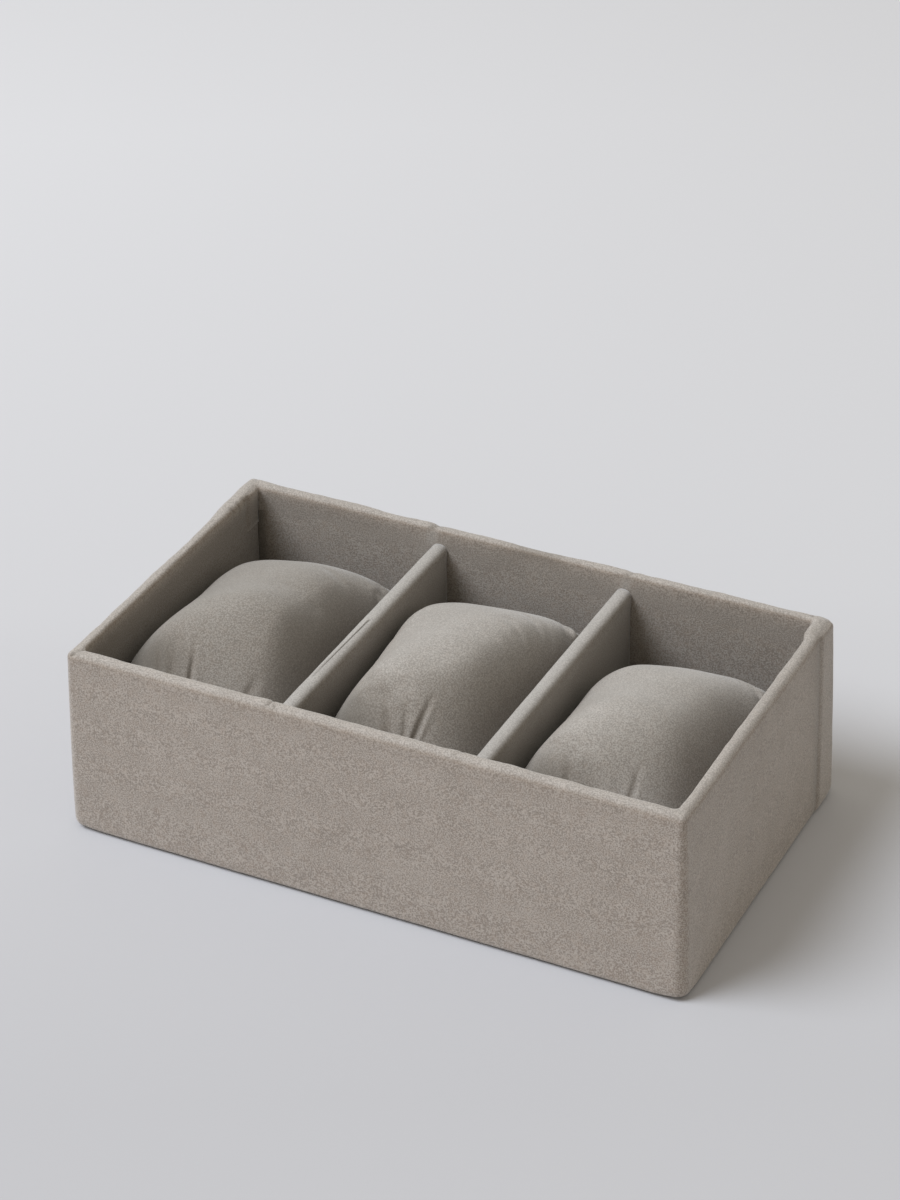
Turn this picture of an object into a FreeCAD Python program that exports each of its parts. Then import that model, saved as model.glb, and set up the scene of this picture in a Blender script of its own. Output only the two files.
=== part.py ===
import FreeCAD, Part
import math
import os

# Open tray for watches: stiff boards covered in velvet, two fixed dividers and three loose cushions.
# Millimetres. X runs along the tray to the right, Y from front to back, Z up.
# The origin is on the standing surface, under the middle of the tray.

# Outside of the tray
TRAY_LENGTH = 220.0
TRAY_WIDTH = 126.0
TRAY_HEIGHT = 69.0

# Sheet materials
WALL_BOARD = 2.5
BASE_BOARD = 2.5
DIVIDER_BOARD = 3.0
VELVET = 1.0
UNDERSIDE_SHEET = 0.8
BOARD_EDGE_RADIUS = 1.0
CUT_EDGE_RADIUS = 0.6

# Underside: width of the velvet hem, setback of the closing sheet, room round the infill card
HEM_WIDTH = 12.0
SHEET_SETBACK = 3.0
CARD_CLEARANCE = 0.5

# Dividers: how far their tops stay below the rim, and how far the left one sits off its third
DIVIDER_DROP = 5.5
LEFT_DIVIDER_SHIFT = 2.5

# Cushions: their fit in the compartment. The gap behind differs a little from one to the next.
CUSHION_BACK_GAP = {"left": 17.2, "middle": 16.2, "right": 20.2}
CUSHION_FRONT_GAP = 0.8
CUSHION_SIDE_GAP = 0.6
CUSHION_SEAT_GAP = 0.4
CUSHION_DRAW_IN = 0.8
COVER_THICKNESS = 1.0
FILLING_GAP = 0.1

# Heights above the seat in the full part of a cushion: its crown, its left edge, and its right edge,
# which rises from front to back
CUSHION_HEIGHT = {"left": 63.0, "middle": 63.0, "right": 62.0}
LEFT_EDGE_HEIGHT = {"left": 44.0, "middle": 42.0, "right": 39.0}
RIGHT_EDGE_FRONT = 13.0
RIGHT_EDGE_BACK = 31.0

# Sewn ends: heights above the seat, thickness below the lower edge, and length of the rounding
FRONT_SEAM_HEIGHT = {"left_edge": 28.0, "crown": 35.0, "right_edge": 20.0}
BACK_SEAM_HEIGHT = {"left_edge": 37.0, "crown": 45.0, "right_edge": 37.0}
SEAM_THICKNESS = 6.0
FRONT_ROUNDING = 42.0
BACK_ROUNDING = 50.0

# Section across a cushion. The crown wanders from left of the middle at the front to right of it at the
# back, given in half widths. Fullness is the height of a shoulder halfway out, as a share of the crown's.
CROWN_PLACE_FRONT = -0.68
CROWN_PLACE_BACK = 0.52
LEFT_FULLNESS = 0.73
RIGHT_FULLNESS = 0.83
LEAST_BULGE = 0.15
FOOT_INSET = 7.0
SIDE_BOW_SHARE = 0.4

# Where a cushion's sections stand, as shares of its length
SECTION_PLACES = (0, 0.02, 0.06, 0.13, 0.24, 0.38, 0.54, 0.7, 0.82, 0.91, 0.96, 0.985, 1)

# Heights of the layers, from the standing surface up
hem_bottom = UNDERSIDE_SHEET
carcass_bottom = hem_bottom + VELVET
board_floor = carcass_bottom + BASE_BOARD
velvet_floor = board_floor + VELVET
board_top = TRAY_HEIGHT - VELVET
divider_top = TRAY_HEIGHT - DIVIDER_DROP

# Half sizes in plan, from the outside in
outer_x = TRAY_LENGTH / 2
outer_y = TRAY_WIDTH / 2
board_x = outer_x - VELVET
board_y = outer_y - VELVET
inside_x = board_x - WALL_BOARD
inside_y = board_y - WALL_BOARD
room_x = inside_x - VELVET
room_y = inside_y - VELVET

# The dividers split the room into thirds, apart from the shift of the left one
divider_thickness = DIVIDER_BOARD + 2 * VELVET
third = (2 * room_x - 2 * divider_thickness) / 3
right_divider_x = (third + divider_thickness) / 2
left_divider_x = LEFT_DIVIDER_SHIFT - right_divider_x


def block(x0, x1, y0, y1, z0, z1):
    """A box between two corners."""
    return Part.makeBox(x1 - x0, y1 - y0, z1 - z0, FreeCAD.Vector(x0, y0, z0))


def centred_block(half_x, half_y, z0, z1):
    """A box centred in plan."""
    return block(-half_x, half_x, -half_y, half_y, z0, z1)


def rounded_block(half_x, half_y, z0, z1, radius):
    """A centred box with all its edges rounded."""
    box = centred_block(half_x, half_y, z0, z1)
    return box.makeFillet(radius, box.Edges)


def export(shape, node):
    """Write one piece to its own file."""
    shape.exportStep(os.path.join("parts", node + ".step"))


# Carcass: four wall boards round a base board, glued edge to face.
# The long walls run the full length and the end walls stand between them.
def wall_boards():
    carcass = rounded_block(board_x, board_y, carcass_bottom, board_top, BOARD_EDGE_RADIUS)
    footprints = {
        "front_wall_board": (-board_x, board_x, -board_y, -inside_y),
        "back_wall_board": (-board_x, board_x, inside_y, board_y),
        "left_wall_board": (-board_x, -inside_x, -inside_y, inside_y),
        "right_wall_board": (inside_x, board_x, -inside_y, inside_y),
    }
    return {
        node: carcass.common(block(*plan, carcass_bottom, board_top))
        for node, plan in footprints.items()
    }


def base_board():
    return centred_block(inside_x, inside_y, carcass_bottom, board_floor)


# Outer wrap: velvet over the outside and the rim, hemmed under the base.
def outer_velvet_wrap():
    skin = rounded_block(outer_x, outer_y, hem_bottom, TRAY_HEIGHT, BOARD_EDGE_RADIUS + VELVET)
    carcass = rounded_block(board_x, board_y, carcass_bottom, board_top, BOARD_EDGE_RADIUS)
    mouth = centred_block(room_x, room_y, board_top - VELVET, TRAY_HEIGHT + VELVET)
    hem_window = centred_block(
        outer_x - HEM_WIDTH, outer_y - HEM_WIDTH, hem_bottom - VELVET, carcass_bottom + VELVET
    )
    wrap = skin.cut(carcass).cut(mouth).cut(hem_window)
    inner_rim = [
        edge
        for edge in wrap.Edges
        if edge.BoundBox.ZMin > TRAY_HEIGHT - VELVET / 2
        and abs(edge.CenterOfMass.x) < room_x + VELVET / 2
        and abs(edge.CenterOfMass.y) < room_y + VELVET / 2
    ]
    return wrap.makeFillet(min(CUT_EDGE_RADIUS, 0.9 * VELVET), inner_rim)


# Wall linings: velvet on the inner faces, tucked under the folded rim.
# The long linings run from board to board and the end linings fit between them.
def wall_linings():
    footprints = {
        "front_lining": (-inside_x, inside_x, -inside_y, -room_y),
        "back_lining": (-inside_x, inside_x, room_y, inside_y),
        "left_lining": (-inside_x, -room_x, -room_y, room_y),
        "right_lining": (room_x, inside_x, -room_y, room_y),
    }
    return {node: block(*plan, board_floor, board_top) for node, plan in footprints.items()}


# Dividers: a board on edge on the base, with a velvet sleeve over its faces and top.
def divider_board(centre_x):
    half = DIVIDER_BOARD / 2
    board = block(
        centre_x - half, centre_x + half, -room_y, room_y, board_floor, divider_top - VELVET
    )
    top_edges = [
        edge
        for edge in board.Edges
        if edge.BoundBox.ZMin > divider_top - VELVET - BOARD_EDGE_RADIUS / 2
        and edge.BoundBox.XLength < DIVIDER_BOARD / 2
    ]
    return board.makeFillet(min(BOARD_EDGE_RADIUS, 0.45 * DIVIDER_BOARD), top_edges)


def divider_cover(centre_x):
    half = divider_thickness / 2
    sleeve = block(centre_x - half, centre_x + half, -room_y, room_y, board_floor, divider_top)
    top_edges = [
        edge
        for edge in sleeve.Edges
        if edge.BoundBox.ZMin > divider_top - VELVET / 2
        and edge.BoundBox.XLength < divider_thickness / 2
    ]
    rounded = sleeve.makeFillet(
        min(BOARD_EDGE_RADIUS, 0.45 * DIVIDER_BOARD) + VELVET, top_edges
    )
    return rounded.cut(divider_board(centre_x))


# Compartments: their side faces, left to right between the walls and the dividers.
half_divider = divider_thickness / 2
compartments = {
    "left": (-room_x, left_divider_x - half_divider),
    "middle": (left_divider_x + half_divider, right_divider_x - half_divider),
    "right": (right_divider_x + half_divider, room_x),
}


def floor_lining(sides):
    return block(sides[0], sides[1], -room_y, room_y, board_floor, velvet_floor)


# Underside: a card that fills the level inside the hem, and the sheet that closes it.
def base_infill_card():
    setback = HEM_WIDTH + CARD_CLEARANCE
    return centred_block(outer_x - setback, outer_y - setback, hem_bottom, carcass_bottom)


def underside_sheet():
    return centred_block(outer_x - SHEET_SETBACK, outer_y - SHEET_SETBACK, 0, hem_bottom)


# Cushions: two pieces of velvet sewn together along their edges and stuffed, pushed in aslant.
# Across the cushion, each section is a flat foot, two sides, two shoulders and a crown.
# Towards the ends it flattens to the seam, and between them the sides draw in.
def heading(start, end):
    return math.atan2(end[1] - start[1], end[0] - start[0])


def shoulder_turn(start, direction, end):
    """The middle point of an arc that leaves a point in a direction and ends at another point."""
    turn = abs(math.remainder(direction - heading(start, end), 2 * math.pi))
    chord = math.dist(start, end)
    bulge = max(chord / 2 * math.tan(turn / 2), LEAST_BULGE)
    outwards = math.copysign(bulge / chord, end[0] - start[0])
    return (
        (start[0] + end[0]) / 2 - outwards * (end[1] - start[1]),
        (start[1] + end[1]) / 2 + outwards * (end[0] - start[0]),
    )


def cushion_section(centre_x, y, half_width, bottom, left_z, crown, right_z):
    left, right = (-half_width, left_z), (half_width, right_z)
    left_shoulder = ((left[0] + crown[0]) / 2, left_z + LEFT_FULLNESS * (crown[1] - left_z))
    right_shoulder = ((right[0] + crown[0]) / 2, right_z + RIGHT_FULLNESS * (crown[1] - right_z))
    left_foot, right_foot = (FOOT_INSET - half_width, bottom), (half_width - FOOT_INSET, bottom)
    bow_x = half_width - FOOT_INSET * (1 - SIDE_BOW_SHARE) ** 2
    left_bow = (-bow_x, bottom + SIDE_BOW_SHARE * (left_z - bottom))
    right_bow = (bow_x, bottom + SIDE_BOW_SHARE * (right_z - bottom))
    climb = heading(left_shoulder, crown)
    fall = heading(crown, right_shoulder)
    level = heading(left_shoulder, right_shoulder)
    left_turn = shoulder_turn(left_shoulder, climb - fall + level + math.pi, left)
    right_turn = shoulder_turn(right_shoulder, fall - climb + level, right)

    def at(point):
        return FreeCAD.Vector(centre_x + point[0], y, point[1])

    def arc(*points):
        return Part.Arc(*(at(point) for point in points)).toShape()

    return Part.Wire(
        [
            Part.LineSegment(at(left_foot), at(right_foot)).toShape(),
            arc(right_foot, right_bow, right),
            arc(right, right_turn, right_shoulder),
            arc(right_shoulder, crown, left_shoulder),
            arc(left_shoulder, left_turn, left),
            arc(left, left_bow, left_foot),
        ]
    )


def between(front_value, back_value, share):
    """A value part of the way from the front of a cushion to its back."""
    return front_value + (back_value - front_value) * share


def seam_height(point, share):
    return between(FRONT_SEAM_HEIGHT[point], BACK_SEAM_HEIGHT[point], share)


def cushion_solid(name, inset):
    """One cushion's closed form, drawn in on every side by the inset."""
    left, right = compartments[name]
    end_half_width = (right - left) / 2 - CUSHION_SIDE_GAP - inset
    front = CUSHION_FRONT_GAP - room_y
    length = 2 * room_y - CUSHION_FRONT_GAP - CUSHION_BACK_GAP[name]
    seat = velvet_floor + CUSHION_SEAT_GAP
    sections = []
    for place in SECTION_PLACES:
        station = between(inset, length - inset, place)
        share = station / length
        from_front = min(station / FRONT_ROUNDING, 1)
        from_back = min((length - station) / BACK_ROUNDING, 1)
        swell = math.sqrt(1 - (1 - from_front) ** 2) * math.sqrt(1 - (1 - from_back) ** 2)
        half_width = end_half_width - CUSHION_DRAW_IN * math.sin(math.pi * share)
        full_heights = {
            "left_edge": LEFT_EDGE_HEIGHT[name],
            "crown": CUSHION_HEIGHT[name],
            "right_edge": between(RIGHT_EDGE_FRONT, RIGHT_EDGE_BACK, share),
        }
        heights = {
            point: seat + between(seam_height(point, share), full, swell)
            for point, full in full_heights.items()
        }
        seam_foot = min(seam_height(edge, share) for edge in ("left_edge", "right_edge")) - SEAM_THICKNESS
        crown_x = half_width * between(CROWN_PLACE_FRONT, CROWN_PLACE_BACK, share)
        sections.append(
            cushion_section(
                centre_x=(left + right) / 2,
                y=front + station,
                half_width=half_width,
                bottom=seat + seam_foot * (1 - swell) + inset,
                left_z=heights["left_edge"],
                crown=(crown_x, heights["crown"] - inset),
                right_z=heights["right_edge"],
            )
        )
    return Part.makeLoft(sections, True, False)


def cushion_cover(name):
    return cushion_solid(name, 0.0).cut(cushion_solid(name, COVER_THICKNESS))


def cushion_filling(name):
    return cushion_solid(name, COVER_THICKNESS + FILLING_GAP)


# The whole tray, one file for each piece
os.makedirs("parts", exist_ok=True)
for node, board in wall_boards().items():
    export(board, node)
export(base_board(), "base_board")
export(outer_velvet_wrap(), "outer_velvet_wrap")
for node, lining in wall_linings().items():
    export(lining, node)
for side, divider_x in (("left", left_divider_x), ("right", right_divider_x)):
    export(divider_board(divider_x), side + "_divider_board")
    export(divider_cover(divider_x), side + "_divider_cover")
export(base_infill_card(), "base_infill_card")
export(underside_sheet(), "underside_sheet")
for name, faces in compartments.items():
    export(floor_lining(faces), name + "_floor_lining")
    export(cushion_cover(name), name + "_cushion_cover")
    export(cushion_filling(name), name + "_cushion_filling")
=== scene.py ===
import math

import bmesh
import bpy
import numpy as np
from mathutils import Matrix, Vector, noise


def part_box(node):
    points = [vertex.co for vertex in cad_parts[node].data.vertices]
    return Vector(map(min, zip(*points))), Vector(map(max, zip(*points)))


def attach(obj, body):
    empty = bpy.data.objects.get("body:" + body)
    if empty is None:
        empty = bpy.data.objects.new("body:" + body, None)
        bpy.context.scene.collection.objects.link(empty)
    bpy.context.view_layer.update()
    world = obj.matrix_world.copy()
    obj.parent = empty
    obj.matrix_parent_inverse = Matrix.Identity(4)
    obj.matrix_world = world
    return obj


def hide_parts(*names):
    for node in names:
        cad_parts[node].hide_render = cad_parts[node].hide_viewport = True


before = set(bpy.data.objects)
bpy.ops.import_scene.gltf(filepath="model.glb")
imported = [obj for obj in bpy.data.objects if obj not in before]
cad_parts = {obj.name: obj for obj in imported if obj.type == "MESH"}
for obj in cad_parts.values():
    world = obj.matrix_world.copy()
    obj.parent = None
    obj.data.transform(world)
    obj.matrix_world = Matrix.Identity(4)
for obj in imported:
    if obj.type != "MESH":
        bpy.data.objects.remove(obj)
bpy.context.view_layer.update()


# Carcass: seven panels of brown fibreboard. The four walls stand round the base board and the two
# dividers stand on it, all glued edge to face. Velvet and card hide every one of them.
MM = 0.001


class Shade:
    """A socket in a material's node tree. Operators on it add Math nodes."""

    def __init__(self, tree, socket=None):
        self.tree = tree
        self.socket = socket

    def add(self, kind, settings=None, inputs=None, output=0):
        """Add a node: its settings first, then the values or links of its sockets."""
        node = self.tree.nodes.new("ShaderNode" + kind)
        for name, value in (settings or {}).items():
            setattr(node, name, value)
        for name, value in (inputs or {}).items():
            if isinstance(value, Shade):
                self.tree.links.new(value.socket, node.inputs[name])
            else:
                node.inputs[name].default_value = value
        return Shade(self.tree, node.outputs[output] if len(node.outputs) else None)

    def math(self, operation, *values):
        """Add a Math node over some values."""
        return self.add("Math", {"operation": operation}, dict(enumerate(values)))

    def noise(self, place, size, detail=2.0):
        """Noise whose features are about as large as the given size, in metres."""
        return self.add("TexNoise", inputs={"Vector": place, "Scale": 1 / size, "Detail": detail})

    def mix(self, share, first, second):
        """Blend two colours."""
        colours = {0: share, 6: first, 7: second}
        for socket in (6, 7):
            if not isinstance(colours[socket], Shade):
                colours[socket] = (*colours[socket], 1.0)
        return self.add("Mix", {"data_type": "RGBA"}, colours, output=2)

    def clamped(self):
        """The same value, held between 0 and 1."""
        return self.add("Clamp", inputs={"Value": self})

    def rise(self, start, length):
        """A straight rise from 0 to 1 that begins at a value and takes up a length."""
        return ((self - start) * (1 / length)).clamped()

    def __add__(self, other):
        return self.math("ADD", self, other)

    def __sub__(self, other):
        return self.math("SUBTRACT", self, other)

    def __rsub__(self, other):
        return self.math("SUBTRACT", other, self)

    def __mul__(self, other):
        return self.math("MULTIPLY", self, other)

    __radd__ = __add__


def start_material(name):
    """An empty node material, and a handle for adding to its tree."""
    material = bpy.data.materials.new(name)
    material.use_nodes = True
    material.node_tree.nodes.clear()
    return material, Shade(material.node_tree)


def fibrous(name, dark, light, sizes, detail, coarse, relief, roughness):
    """Matt material of pressed fibres: fine fibres over coarser clumps, each with its size.

    Coarse is the clumps' share in the colour. Relief is a strength and a depth, and roughness is the
    least that it is and how much the fibres add."""
    material, sheet = start_material(name)
    place = sheet.add("TexCoord", output="Object")
    fibres = sheet.noise(place, sizes[0], detail)
    clumps = sheet.noise(place, sizes[1])
    colour = sheet.mix((fibres * (1 - coarse) + clumps * coarse).clamped(), dark, light)
    strength, depth = relief
    bump = sheet.add("Bump", inputs={"Strength": strength, "Distance": depth, "Height": fibres})
    least, added = roughness
    finish = sheet.add(
        "BsdfPrincipled",
        inputs={"Base Color": colour, "Roughness": least + fibres * added, "Normal": bump},
    )
    sheet.add("OutputMaterial", inputs={"Surface": finish})
    return material


def coat(node, material):
    """Give a CAD piece its finish."""
    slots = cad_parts[node].data.materials
    slots.clear()
    slots.append(material)


board_material = fibrous(
    "fibreboard",
    dark=(0.20, 0.12, 0.065),
    light=(0.47, 0.33, 0.20),
    sizes=(0.9 * MM, 7 * MM),
    detail=5.0,
    coarse=0.3,
    relief=(0.3, 0.1 * MM),
    roughness=(0.65, 0.3),
)
for board_node in (
    "front_wall_board",
    "back_wall_board",
    "left_wall_board",
    "right_wall_board",
    "base_board",
    "left_divider_board",
    "right_divider_board",
):
    coat(board_node, board_material)


# Outer wrap: one strip of greige velvet glued round the outside. It folds over the rim and 15 mm down
# the inner face, and under the base as a hem. Its end laps over its start near the back right corner.
WRAP_ROOTS = (0.250, 0.213, 0.184)
WRAP_TIPS = (0.44, 0.392, 0.352)
# Its section: the cloth, its rounded edges and how far it stands out or sinks in
CLOTH = 1.0 * MM
HEM = 12 * MM
PILE_OUT = 0.75 * MM
PILE_IN = 0.25 * MM
BOTTOM_ROUND = 1.4 * MM
RIM_RISE = 0.5 * MM
RIM_DEPTH = 3 * MM
RIM_OUTER_ROUND = 2.7 * MM
RIM_INNER_ROUND = 1.6 * MM
TURNED_IN = 15 * MM
TURNED_SINK = 0.28 * MM
TURNED_FADE = 6 * MM
ROOM_MARGIN = 0.2 * MM
# Its way round the tray: corners, and the share of the inner ones that is lost below the rim
WRAP_CORNER = 2.4 * MM
INNER_CORNER = 2.2 * MM
CORNER_LOST = 0.9
WRAP_FLARE = 1.1 * MM
WRAP_BULGE = 0.3 * MM
FOOT_TUCK = 1.3
FOOT_HEIGHT = 4 * MM
FOOT_REACH = 5 * MM
# Columns of points, and where the right, back, left and front side have finer ones, in millimetres
CORNER_COLUMNS = 9
WEAVE_STEP = 1.5 * MM
FINE_STEP = 0.4 * MM
FINE_REACH = 5 * MM
FINE_PLACES = ((45, 48, 50, 52, -57), (-35, 38, 103), (41, 44.5, 48), (-34, 31, -104))
# Waves in the cloth: height and length in millimetres
WAVES = ((0.10, 24), (0.05, 8))
RIM_WAVES = ((0.20, 8), (0.12, 2.5))
# The lap, in millimetres: its edge runs through these places at these heights
LAP_HEIGHTS = (0, 4, 69)
LAP_PLACES = (45, 48, 50)
LAP_STEP = 0.45
LAP_EDGE = 2.8
LAP_GROOVE = 1.8
LAP_DEPTH = 0.12
LAP_SHADOW = 5
LAP_HIGHLIGHT_RISE = 2
# Marks on the pile, as shares of the full pale, painted shade or bare state
# Painted highlight on the strip behind the lap, painted shadow in front of it and shade in its groove
LAP_HIGHLIGHT = 0.15
LAP_SHADOW_SHADE = 0.38
LAP_GROOVE_SHADE = 0.12
# Painted highlight on the top of the rim; crushed pile, which is paler
RIM_HIGHLIGHT = 0.42
CRUSHED_PALENESS = 0.5
# Turned-in cloth: greyed and painted darker towards the lining's shaded tone, more on the left wall
TURNED_GREYING = 0.2
TURNED_SHADE = 0.33
LEFT_WALL_SHADE = 0.41
FOLD_BARE = 0.2
# Where those marks begin and end: parts of the surface's direction, heights and the depth of a groove
RIGHT_FACE = (0.7, 0.97)
RIM_LEAN = (0.25, 0.8)
FOLD_LEAN = 0.3
FOLD_SPREAD = 0.25
FOLD_HEIGHTS = (60 * MM, 66 * MM)
LEFT_WALL_LEAN = 0.5
FULL_GROOVE = 0.9
# Creases in the cloth: both ends, depth and half width in millimetres. A negative depth is a bulge
CREASES = [
    ((110, -57.5, 0), (110, -57.2, 8), 0.3, 0.6),
    ((27.7, -63.2, 0), (27.9, -63.2, 3.2), 0.5, 0.6),
    ((-108.4, -63.4, 68.5), (-104.5, -58.2, 69.3), 0.6, 0.6),
    ((-105.3, 58.2, 68.5), (-107.5, 61.5, 69.5), 0.4, 0.5),
    ((-105.7, 40.0, 69.3), (-105.1, 40.8, 66.5), 0.4, 0.5),
    ((-105.5, 44.0, 69.3), (-105.1, 44.8, 66.5), 0.35, 0.45),
    ((-105.8, 47.6, 69.3), (-105.2, 48.2, 67.0), 0.3, 0.4),
    ((105.0, 50.5, 68.8), (105.0, 57.5, 68.8), -1.4, 3.0),
    ((102.8, 58.0, 66.8), (103.3, 60.4, 69.5), 0.6, 0.55),
    ((-44, 60.5, 69.5), (-37.5, 60.5, 69.5), -0.4, 2.5),
    ((-36.5, 58.3, 69.2), (-34.0, 62.5, 69.3), 0.45, 1.2),
    ((37.5, 58.3, 69.2), (38.8, 62.5, 69.3), 0.25, 1.6),
    ((0, 60.5, 69.5), (5, 60.5, 69.5), 0.35, 9.0),
    ((-39, -60.5, 69.5), (-36.5, -60.5, 69.5), -0.35, 2.0),
    ((-34.2, -58.9, 69.3), (-34.8, -62.0, 69.5), 0.5, 0.5),
    ((-32.7, -60.8, 69.5), (-31.9, -63.0, 68.7), 0.4, 0.5),
    ((33.1, -58.6, 69.3), (30.7, -62.0, 69.4), 0.22, 0.6),
    ((-26, -63.7, 67.0), (24, -63.7, 66.8), 0.18, 0.5),
    ((-108, 61, 69.5), (-109, 62, 69.5), -0.7, 6.0),
    ((-109, 40, 69.5), (-109, 53, 69.5), -1.0, 6.0),
    ((-100, 60.5, 69.5), (-60, 60.5, 69.5), -0.5, 4.0),
]

# Patches where the pile is crushed, over the ends of the dividers: both ends and half width
CRUSHED = [((-35.5, 60.5, 69.5), (-36.5, 58, 64), 2.8), ((37, 60.5, 69.5), (36.5, 58, 64), 2.0)]

wrap_low, wrap_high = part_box("outer_velvet_wrap")
room_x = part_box("right_lining")[0].x
room_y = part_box("back_lining")[0].y
rim_width = wrap_high.x - room_x

# Velvet: the size of each unevenness in its pile, and how strongly it shows
TUFT_SIZE = 0.5 * MM
FIBRE_SIZE = 0.22 * MM
BRUSHED_SIZE = 9 * MM
LIE_SIZE = 45 * MM
WARM_SIZE = 2.2 * MM
TUFT_SHARE = 4.6
FIBRE_SHARE = 1.8
BRUSHED_SHARE = 0.65
LIE_SHARE = 0.35
WARM_SHARE = 0.4
WARM_START = 0.42
WARM_LENGTH = 0.625
SHADE_UNEVEN = 0.6
BARE_UNEVEN = 1.4
# Other states: a pale colour for painted highlights and crushed pile, or factors on the roots' colour
PALE_ROOTS = (0.39388, 0.38528, 0.37668)
PALE_TIPS = (0.52212, 0.51072, 0.49932)
WARM = (1.30, 1.12, 0.98)
SHADED = (0.59, 0.60, 0.58)
BACKING = (0.80, 0.71, 0.62)


def velvet(name, roots, tips):
    """Short-pile velvet: pale tips over darker roots, mottled by the lie of the pile.

    Each piece of velvet has three attributes: one for painted highlights and for crushed pile, which is
    paler; one for painted shade; and bare where a fold opens the pile."""
    material, cloth = start_material(name)
    place = cloth.add("TexCoord", output="Object")
    tufts = cloth.noise(place, TUFT_SIZE)
    fibres = cloth.noise(place, FIBRE_SIZE)
    brushed = cloth.noise(place, BRUSHED_SIZE, detail=3.0)
    lie = cloth.noise(place, LIE_SIZE)
    warmth = cloth.noise(place, WARM_SIZE)
    crush_and_highlight, painted_shade, bare = (
        cloth.add("Attribute", {"attribute_name": mark}, output="Fac")
        for mark in ("crush_and_highlight", "painted_shade", "bare")
    )
    share = 0.5 + (tufts - 0.5) * TUFT_SHARE + (fibres - 0.5) * FIBRE_SHARE
    share = (share + (brushed - 0.5) * BRUSHED_SHARE + (lie - 0.5) * LIE_SHARE).clamped()
    colour = cloth.mix(share, roots, tips)
    warmed = warmth.rise(WARM_START, WARM_LENGTH) * WARM_SHARE
    colour = cloth.mix(warmed, colour, np.multiply(roots, WARM))
    # Painted highlights, and paler crushed pile
    colour = cloth.mix(crush_and_highlight.clamped(), colour, cloth.mix(share, PALE_ROOTS, PALE_TIPS))
    # Painted shade
    shaded = painted_shade * (1 - (tufts - 0.5) * SHADE_UNEVEN)
    colour = cloth.mix(shaded.clamped(), colour, np.multiply(roots, SHADED))
    opened = bare * (1 + (tufts - 0.5) * BARE_UNEVEN)
    colour = cloth.mix(opened.clamped(), colour, np.multiply(roots, BACKING))
    relief = cloth.add(
        "Bump",
        inputs={"Strength": 0.6, "Distance": 0.3 * MM, "Height": tufts * 0.7 + fibres * 0.3},
    )
    finish = cloth.add(
        "BsdfPrincipled",
        inputs={
            "Base Color": colour,
            "Roughness": 0.8 + tufts * 0.2,
            "Normal": relief,
            "Specular IOR Level": 0.1,
            "Sheen Weight": 0.5,
            "Sheen Roughness": 0.5,
            "Sheen Tint": (0.90, 0.92, 0.95, 1.0),
        },
    )
    cloth.add("OutputMaterial", inputs={"Surface": finish})
    return material


def arc(centre_inset, centre_height, radius, start, end, steps):
    """Points of a rounded edge in the wrap's section, from one angle to the other in degrees."""
    angles = np.radians(np.linspace(start, end, steps + 1))
    return [
        (centre_inset - radius * math.cos(angle), centre_height + radius * math.sin(angle))
        for angle in angles
    ]


def wrap_section():
    """The strip's closed section, and which of its points show: hem, outer face and rim do."""
    bottom, top = wrap_low.z, wrap_high.z + RIM_RISE
    outer_low = bottom + BOTTOM_ROUND
    outer_high = top - RIM_OUTER_ROUND
    rows = round((outer_high - outer_low) / WEAVE_STEP)
    shown = [(HEM * share, bottom) for share in (1.0, 0.8, 0.6, 0.4)]
    shown += arc(BOTTOM_ROUND - PILE_OUT, outer_low, BOTTOM_ROUND, -90, 0, 6)
    shown += [(-PILE_OUT, outer_low + (outer_high - outer_low) * k / rows) for k in range(1, rows)]
    shown += arc(RIM_OUTER_ROUND - PILE_OUT, outer_high, RIM_OUTER_ROUND, 0, 90, 9)
    inner = rim_width + PILE_IN
    flat = inner + PILE_OUT - RIM_OUTER_ROUND - RIM_INNER_ROUND
    shown += [(RIM_OUTER_ROUND - PILE_OUT + flat * share, top) for share in (0.33, 0.67)]
    shown += arc(inner - RIM_INNER_ROUND, top - RIM_INNER_ROUND, RIM_INNER_ROUND, 90, 180, 7)
    tucks = np.linspace(0, 1, 9)[1:]
    edge = top - RIM_INNER_ROUND
    sink = PILE_IN + TURNED_SINK
    shown += [(inner - sink * tuck, edge - (TURNED_IN - RIM_INNER_ROUND) * tuck) for tuck in tucks]
    # The glued side lies inside the cloth's thickness and never shows
    glued = [(rim_width - 0.4 * CLOTH, top - TURNED_IN - share * CLOTH) for share in (0.7, 1.4)]
    glued += [(rim_width - 0.7 * CLOTH, wrap_high.z - 1.5 * CLOTH), (CLOTH, wrap_high.z - CLOTH)]
    glued += [(CLOTH, bottom + (top - bottom) * share) for share in (0.75, 0.5, 0.25)]
    glued += [(CLOTH, bottom + CLOTH), (HEM, bottom + CLOTH)]
    return shown + glued, [1.0] * len(shown) + [0.0] * len(glued)


def spaced(start, end, creased):
    """Places between two ends of a side, closer together round its creases."""
    places = [0.0]
    length = abs(end - start)
    while places[-1] < length:
        here = start + math.copysign(places[-1], end - start)
        near = any(abs(here - place * MM) < FINE_REACH for place in creased)
        places.append(places[-1] + (FINE_STEP if near else WEAVE_STEP))
    inner = np.array(places[1:-1]) * (length - FINE_STEP) / places[-2]
    return start + np.copysign(inner, end - start)


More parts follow.
